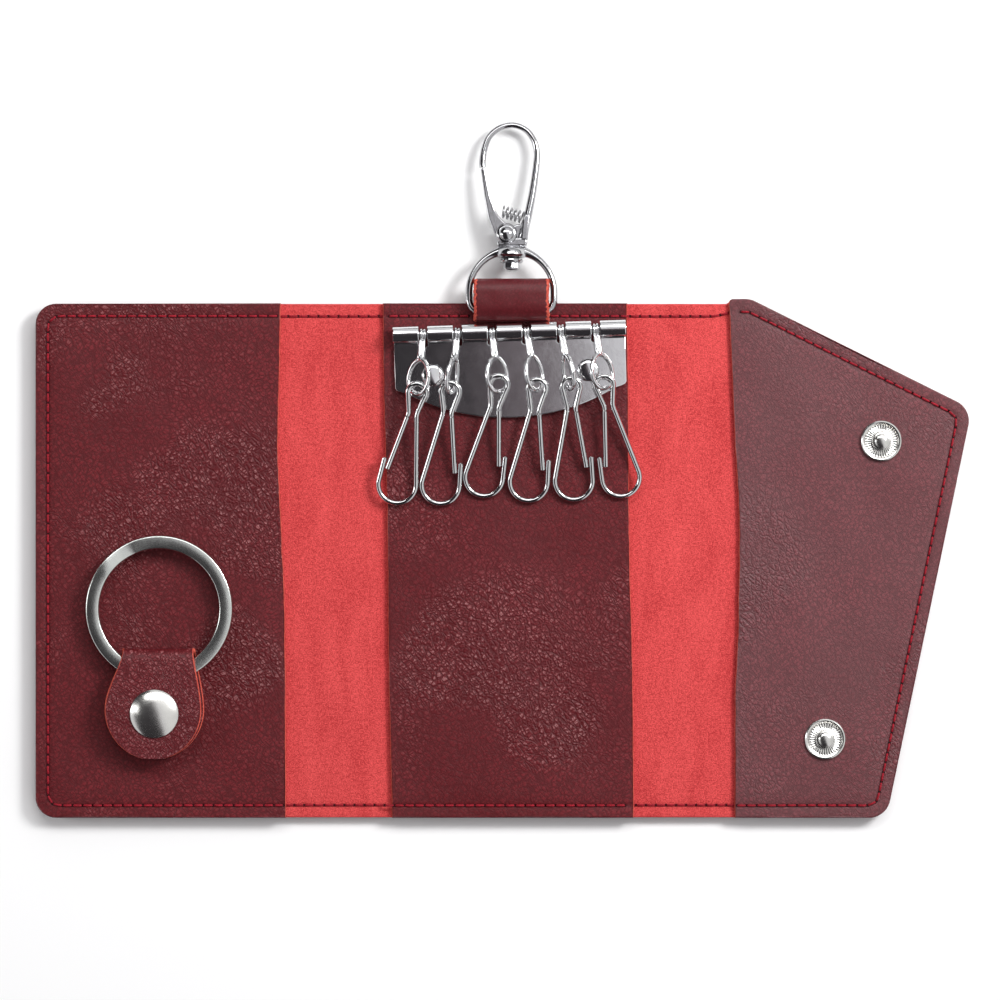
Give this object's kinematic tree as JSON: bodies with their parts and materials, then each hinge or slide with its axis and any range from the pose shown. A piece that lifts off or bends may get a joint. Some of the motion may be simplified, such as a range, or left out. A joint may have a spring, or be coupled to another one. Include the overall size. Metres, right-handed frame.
{
  "type": "leather key organiser",
  "caption": "Tri-fold leather key case lying open, with a row of wire key clips on a plate, a split ring in a snap tab, a snap-down flap and a swivel trigger clasp on a strap.",
  "frame": {"origin": "centre of the middle panel's back face", "axes": "+X across the panels towards the flap, +Y towards the clasp, +Z out of the inside of the open case"},
  "size_m": [0.2177, 0.1623, 0.0114],
  "materials": {
    "cover_leather": "pebbled, semi-gloss burgundy",
    "liner_leather": "pebbled, semi-gloss burgundy",
    "strap_leather": "pebbled burgundy with raw coral edges",
    "suede": "matt coral flesh side",
    "chrome": "polished",
    "wire_chrome": "polished spring wire",
    "nickel": "bright nickel plate",
    "spring_steel": "drawn wire"
  },
  "bodies": {
    "middle_panel": {"outer_cover_middle": "cover_leather", "middle_liner": "liner_leather", "clasp_strap": "strap_leather", "key_plate": "chrome", "key_rod": "chrome", "plate_rivet_left": "chrome", "plate_rivet_right": "chrome", "rivet_washer_left": "nickel", "rivet_washer_right": "nickel"},
    "left_spine_a": {"left_spine_inner": "suede"},
    "left_spine_b": {"left_spine_middle": "suede"},
    "left_spine_c": {"left_spine_outer": "suede"},
    "left_panel": {"outer_cover_left": "cover_leather", "left_pocket_liner": "liner_leather", "cover_snap_socket_upper": "nickel", "cover_snap_socket_lower": "nickel", "cover_snap_eyelet_upper": "nickel", "cover_snap_eyelet_lower": "nickel", "ring_tab_base": "strap_leather", "tab_snap_stud": "nickel", "tab_snap_post": "nickel"},
    "ring_tab": {"ring_tab_flap": "strap_leather", "tab_snap_socket": "nickel", "tab_snap_cap": "nickel"},
    "key_ring": {"split_ring": "nickel"},
    "right_spine_a": {"right_spine_inner": "suede"},
    "right_spine_b": {"right_spine_middle": "suede"},
    "right_spine_c": {"right_spine_outer": "suede"},
    "flap": {"outer_cover_flap": "cover_leather", "flap_liner": "liner_leather", "flap_snap_stud_upper": "nickel", "flap_snap_stud_lower": "nickel", "flap_snap_cap_upper": "nickel", "flap_snap_cap_lower": "nickel"},
    "hanger_1": {"hook_hanger_1": "chrome"},
    "clip_1": {"key_clip_1": "wire_chrome"},
    "clip_gate_1": {"key_clip_gate_1": "wire_chrome"},
    "hanger_2": {"hook_hanger_2": "chrome"},
    "clip_2": {"key_clip_2": "wire_chrome"},
    "clip_gate_2": {"key_clip_gate_2": "wire_chrome"},
    "hanger_3": {"hook_hanger_3": "chrome"},
    "clip_3": {"key_clip_3": "wire_chrome"},
    "clip_gate_3": {"key_clip_gate_3": "wire_chrome"},
    "hanger_4": {"hook_hanger_4": "chrome"},
    "clip_4": {"key_clip_4": "wire_chrome"},
    "clip_gate_4": {"key_clip_gate_4": "wire_chrome"},
    "hanger_5": {"hook_hanger_5": "chrome"},
    "clip_5": {"key_clip_5": "wire_chrome"},
    "clip_gate_5": {"key_clip_gate_5": "wire_chrome"},
    "hanger_6": {"hook_hanger_6": "chrome"},
    "clip_6": {"key_clip_6": "wire_chrome"},
    "clip_gate_6": {"key_clip_gate_6": "wire_chrome"},
    "d_ring": {"swivel_ring": "chrome"},
    "hook": {"hook_body": "chrome", "swivel_button": "chrome", "hook_rivet": "chrome", "gate_spring": "spring_steel"},
    "hook_trigger": {"hook_gate": "chrome"}
  },
  "joints": [
    {"name": "left_crease_1", "type": "hinge", "parent": "middle_panel", "child": "left_spine_a", "pos_m": [-0.0295, 0, 0.0012], "axis": [0, 1, 0], "range_deg": [0, 18]},
    {"name": "left_fold", "type": "hinge", "parent": "left_spine_a", "child": "left_spine_b", "pos_m": [-0.03687, 0, 0.0012], "axis": [0, 1, 0], "range_deg": [0, 72]},
    {"name": "left_crease_3", "type": "hinge", "parent": "left_spine_b", "child": "left_spine_c", "pos_m": [-0.04423, 0, 0.0012], "axis": [0, 1, 0], "range_deg": [0, 72]},
    {"name": "left_crease_4", "type": "hinge", "parent": "left_spine_c", "child": "left_panel", "pos_m": [-0.0516, 0, 0.0012], "axis": [0, 1, 0], "range_deg": [0, 18]},
    {"name": "right_crease_1", "type": "hinge", "parent": "middle_panel", "child": "right_spine_a", "pos_m": [0.0297, 0, 0.0012], "axis": [0, -1, 0], "range_deg": [0, 42]},
    {"name": "right_fold", "type": "hinge", "parent": "right_spine_a", "child": "right_spine_b", "pos_m": [0.0371, 0, 0.0012], "axis": [0, -1, 0], "range_deg": [0, 48]},
    {"name": "right_crease_3", "type": "hinge", "parent": "right_spine_b", "child": "right_spine_c", "pos_m": [0.0445, 0, 0.0012], "axis": [0, -1, 0], "range_deg": [0, 48]},
    {"name": "right_crease_4", "type": "hinge", "parent": "right_spine_c", "child": "flap", "pos_m": [0.0519, 0, 0.0012], "axis": [0, -1, 0], "range_deg": [0, 42]},
    {"name": "tab_unsnap", "type": "hinge", "parent": "left_panel", "child": "ring_tab", "pos_m": [-0.0821, -0.0205, 0.0054], "axis": [1, 0, 0], "range_deg": [-120, 0]},
    {"name": "ring_turn", "type": "hinge", "parent": "left_panel", "child": "key_ring", "pos_m": [-0.08115, -0.0112, 0.00545], "axis": [0, 0, 1], "continuous": true},
    {"name": "hanger_1_swing", "type": "hinge", "parent": "middle_panel", "child": "hanger_1", "pos_m": [-0.01978, 0.05262, 0.00495], "axis": [0.9995, 0.0311, 0], "range_deg": [-85, 0]},
    {"name": "clip_1_swing", "type": "hinge", "parent": "hanger_1", "child": "clip_1", "pos_m": [-0.0212, 0.03907, 0.00671], "axis": [0.9995, 0.0311, 0], "range_deg": [-25, 0]},
    {"name": "clip_1_gate", "type": "hinge", "parent": "clip_1", "child": "clip_gate_1", "pos_m": [-0.0231, 0.03439, 0.00607], "axis": [0.0247, 0.1246, -0.9919], "range_deg": [-14, 0], "stiffness_Nm_per_rad": 0.02, "springref_deg": 2.86},
    {"name": "hanger_2_swing", "type": "hinge", "parent": "middle_panel", "child": "hanger_2", "pos_m": [-0.01175, 0.05287, 0.00495], "axis": [0.9995, 0.0311, 0], "range_deg": [-85, 0]},
    {"name": "clip_2_swing", "type": "hinge", "parent": "hanger_2", "child": "clip_2", "pos_m": [-0.0135, 0.03931, 0.00671], "axis": [0.9995, 0.0311, 0], "range_deg": [-25, 0]},
    {"name": "clip_2_gate", "type": "hinge", "parent": "clip_2", "child": "clip_gate_2", "pos_m": [-0.01315, 0.03428, 0.00607], "axis": [-0.0151, -0.1262, 0.9919], "range_deg": [-14, 0], "stiffness_Nm_per_rad": 0.02, "springref_deg": 2.86},
    {"name": "hanger_3_swing", "type": "hinge", "parent": "middle_panel", "child": "hanger_3", "pos_m": [-0.00372, 0.05312, 0.00495], "axis": [0.9995, 0.0311, 0], "range_deg": [-85, 0]},
    {"name": "clip_3_swing", "type": "hinge", "parent": "hanger_3", "child": "clip_3", "pos_m": [-0.00218, 0.04097, 0.00671], "axis": [0.9995, 0.0311, 0], "range_deg": [-25, 0]},
    {"name": "clip_3_gate", "type": "hinge", "parent": "clip_3", "child": "clip_gate_3", "pos_m": [-0.00211, 0.03592, 0.00607], "axis": [-0.0221, -0.1251, 0.9919], "range_deg": [-14, 0], "stiffness_Nm_per_rad": 0.02, "springref_deg": 2.86},
    {"name": "hanger_4_swing", "type": "hinge", "parent": "middle_panel", "child": "hanger_4", "pos_m": [0.00432, 0.05337, 0.00495], "axis": [0.9995, 0.0311, 0], "range_deg": [-85, 0]},
    {"name": "clip_4_swing", "type": "hinge", "parent": "hanger_4", "child": "clip_4", "pos_m": [0.00679, 0.04005, 0.00671], "axis": [0.9995, 0.0311, 0], "range_deg": [-25, 0]},
    {"name": "clip_4_gate", "type": "hinge", "parent": "clip_4", "child": "clip_gate_4", "pos_m": [0.0072, 0.03501, 0.00607], "axis": [-0.0138, -0.1263, 0.9919], "range_deg": [-14, 0], "stiffness_Nm_per_rad": 0.02, "springref_deg": 2.86},
    {"name": "hanger_5_swing", "type": "hinge", "parent": "middle_panel", "child": "hanger_5", "pos_m": [0.01235, 0.05363, 0.00495], "axis": [0.9995, 0.0311, 0], "range_deg": [-85, 0]},
    {"name": "clip_5_swing", "type": "hinge", "parent": "hanger_5", "child": "clip_5", "pos_m": [0.01471, 0.04039, 0.00671], "axis": [0.9995, 0.0311, 0], "range_deg": [-25, 0]},
    {"name": "clip_5_gate", "type": "hinge", "parent": "clip_5", "child": "clip_gate_5", "pos_m": [0.01571, 0.03544, 0.00607], "axis": [0.0013, -0.1271, 0.9919], "range_deg": [-14, 0], "stiffness_Nm_per_rad": 0.02, "springref_deg": 2.86},
    {"name": "hanger_6_swing", "type": "hinge", "parent": "middle_panel", "child": "hanger_6", "pos_m": [0.02038, 0.05388, 0.00495], "axis": [0.9995, 0.0311, 0], "range_deg": [-85, 0]},
    {"name": "clip_6_swing", "type": "hinge", "parent": "hanger_6", "child": "clip_6", "pos_m": [0.0224, 0.04083, 0.00671], "axis": [0.9995, 0.0311, 0], "range_deg": [-25, 0]},
    {"name": "clip_6_gate", "type": "hinge", "parent": "clip_6", "child": "clip_gate_6", "pos_m": [0.02244, 0.03578, 0.00607], "axis": [-0.0249, 0.1246, -0.9919], "range_deg": [-14, 0], "stiffness_Nm_per_rad": 0.02, "springref_deg": 2.86},
    {"name": "d_ring_swing", "type": "hinge", "parent": "middle_panel", "child": "d_ring", "pos_m": [0.0008, 0.0579, 0.0051], "axis": [-1, 0, 0], "range_deg": [-75, 0]},
    {"name": "hook_swivel", "type": "hinge", "parent": "d_ring", "child": "hook", "pos_m": [0.0008, 0.06985, 0.00405], "axis": [0, 0.9962, -0.0872], "continuous": true},
    {"name": "hook_trigger", "type": "hinge", "parent": "hook", "child": "hook_trigger", "pos_m": [-0.00033, 0.076, 0.00352], "axis": [0, 0.0872, 0.9962], "range_deg": [-20, 0], "stiffness_Nm_per_rad": 0.05, "springref_deg": 5.73, "deforming": ["gate_spring"]}
  ],
  "couplings": [
    {"joint": "left_crease_1", "follows": "left_fold", "ratio": 0.25},
    {"joint": "left_crease_3", "follows": "left_fold", "ratio": 1},
    {"joint": "left_crease_4", "follows": "left_fold", "ratio": 0.25},
    {"joint": "right_crease_1", "follows": "right_fold", "ratio": 0.875},
    {"joint": "right_crease_3", "follows": "right_fold", "ratio": 1},
    {"joint": "right_crease_4", "follows": "right_fold", "ratio": 0.875}
  ]
}
